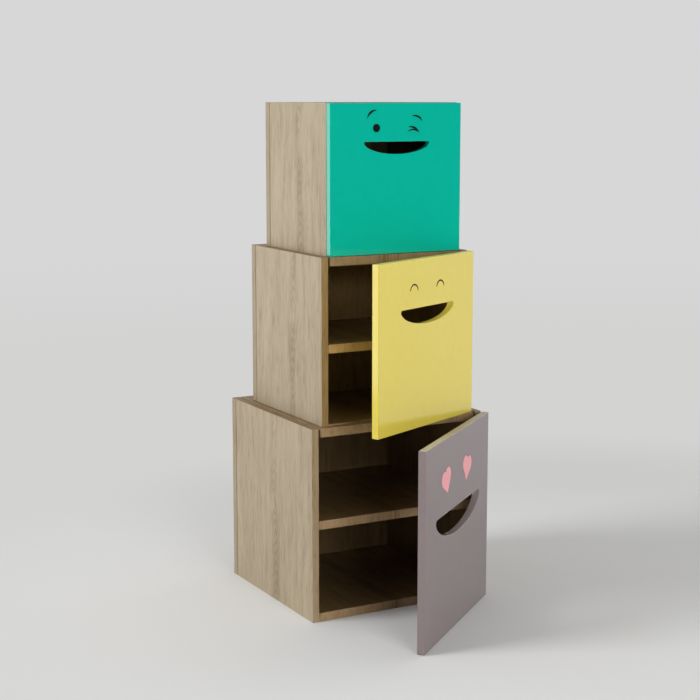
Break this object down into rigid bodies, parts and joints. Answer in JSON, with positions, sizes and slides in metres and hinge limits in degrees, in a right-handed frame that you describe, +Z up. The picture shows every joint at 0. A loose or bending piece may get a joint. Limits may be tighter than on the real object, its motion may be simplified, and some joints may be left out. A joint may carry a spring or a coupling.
{
  "type": "stacking cabinet tower",
  "caption": "Tower of stacked oak-look box cabinets that get smaller upwards, each with a shelf and a hinged lacquered door whose smile-shaped cut-out is the finger pull.",
  "frame": {"origin": "centre of the bottom cabinet's carcass footprint, on the floor", "axes": "+Z up, -Y towards the doors, +X to the right seen from the front, where the hinges are"},
  "size_m": [0.4094, 0.6524, 1.042],
  "materials": {
    "oak_board": "oak-look melamine board, greyish beige, satin",
    "floor_sheet": "thin oak-look sheet",
    "teal_lacquer": "board with satin teal lacquer",
    "yellow_lacquer": "board with satin yellow lacquer",
    "mauve_lacquer": "board with satin mauve-grey lacquer",
    "black_figure": "matt black film",
    "brown_figure": "matt brown film",
    "pink_figure": "satin pink film",
    "beech": "plain beech",
    "steel": "nickel-plated steel",
    "zinc": "zinc-plated steel",
    "silicone": "clear silicone"
  },
  "bodies": {
    "bottom_cabinet": {"bottom_left_side": "oak_board", "bottom_right_side": "oak_board", "bottom_top_board": "oak_board", "bottom_base_board": "oak_board", "bottom_back_board": "oak_board", "bottom_shelf": "oak_board", "bottom_shelf_pins": "steel", "bottom_dowels": "beech", "bottom_back_screws": "zinc", "bottom_side_hinge_leaves": "steel", "bottom_hinge_pins": "steel", "bottom_side_screws": "steel", "bottom_pegs": "beech"},
    "bottom_door": {"bottom_door": "mauve_lacquer", "bottom_door_eyes": "pink_figure", "bottom_door_hinge_leaves": "steel", "bottom_door_screws": "steel", "bottom_door_bumpers": "silicone"},
    "middle_cabinet": {"middle_left_side": "oak_board", "middle_right_side": "oak_board", "middle_top_board": "oak_board", "middle_floor_sheet": "floor_sheet", "middle_back_board": "oak_board", "middle_shelf": "oak_board", "middle_shelf_pins": "steel", "middle_dowels": "beech", "middle_back_screws": "zinc", "middle_side_hinge_leaves": "steel", "middle_hinge_pins": "steel", "middle_side_screws": "steel", "middle_pegs": "beech"},
    "middle_door": {"middle_door": "yellow_lacquer", "middle_door_eyes": "brown_figure", "middle_door_hinge_leaves": "steel", "middle_door_screws": "steel", "middle_door_bumpers": "silicone"},
    "top_cabinet": {"top_left_side": "oak_board", "top_right_side": "oak_board", "top_top_board": "oak_board", "top_floor_sheet": "floor_sheet", "top_back_board": "oak_board", "top_shelf": "oak_board", "top_shelf_pins": "steel", "top_dowels": "beech", "top_back_screws": "zinc", "top_side_hinge_leaves": "steel", "top_hinge_pins": "steel", "top_side_screws": "steel"},
    "top_door": {"top_door": "teal_lacquer", "top_door_eyes": "black_figure", "top_door_hinge_leaves": "steel", "top_door_screws": "steel", "top_door_bumpers": "silicone"}
  },
  "joints": [
    {"name": "bottom_door_hinge", "type": "hinge", "parent": "bottom_cabinet", "child": "bottom_door", "pos_m": [0.2034, -0.1938, 0], "axis": [0, 0, 1], "range_deg": [-39.4, 140.6]},
    {"name": "middle_door_hinge", "type": "hinge", "parent": "middle_cabinet", "child": "middle_door", "pos_m": [0.1734, -0.1788, 0.4], "axis": [0, 0, 1], "range_deg": [-25.1, 154.9]},
    {"name": "top_door_hinge", "type": "hinge", "parent": "top_cabinet", "child": "top_door", "pos_m": [0.1544, -0.1638, 0.74], "axis": [0, 0, 1], "range_deg": [0, 180]},
    {"name": "middle_lift", "type": "slide", "parent": "bottom_cabinet", "child": "middle_cabinet", "axis": [0, 0, 1], "range_m": [0, 0.1]},
    {"name": "top_lift", "type": "slide", "parent": "middle_cabinet", "child": "top_cabinet", "axis": [0, 0, 1], "range_m": [0, 0.1]}
  ]
}
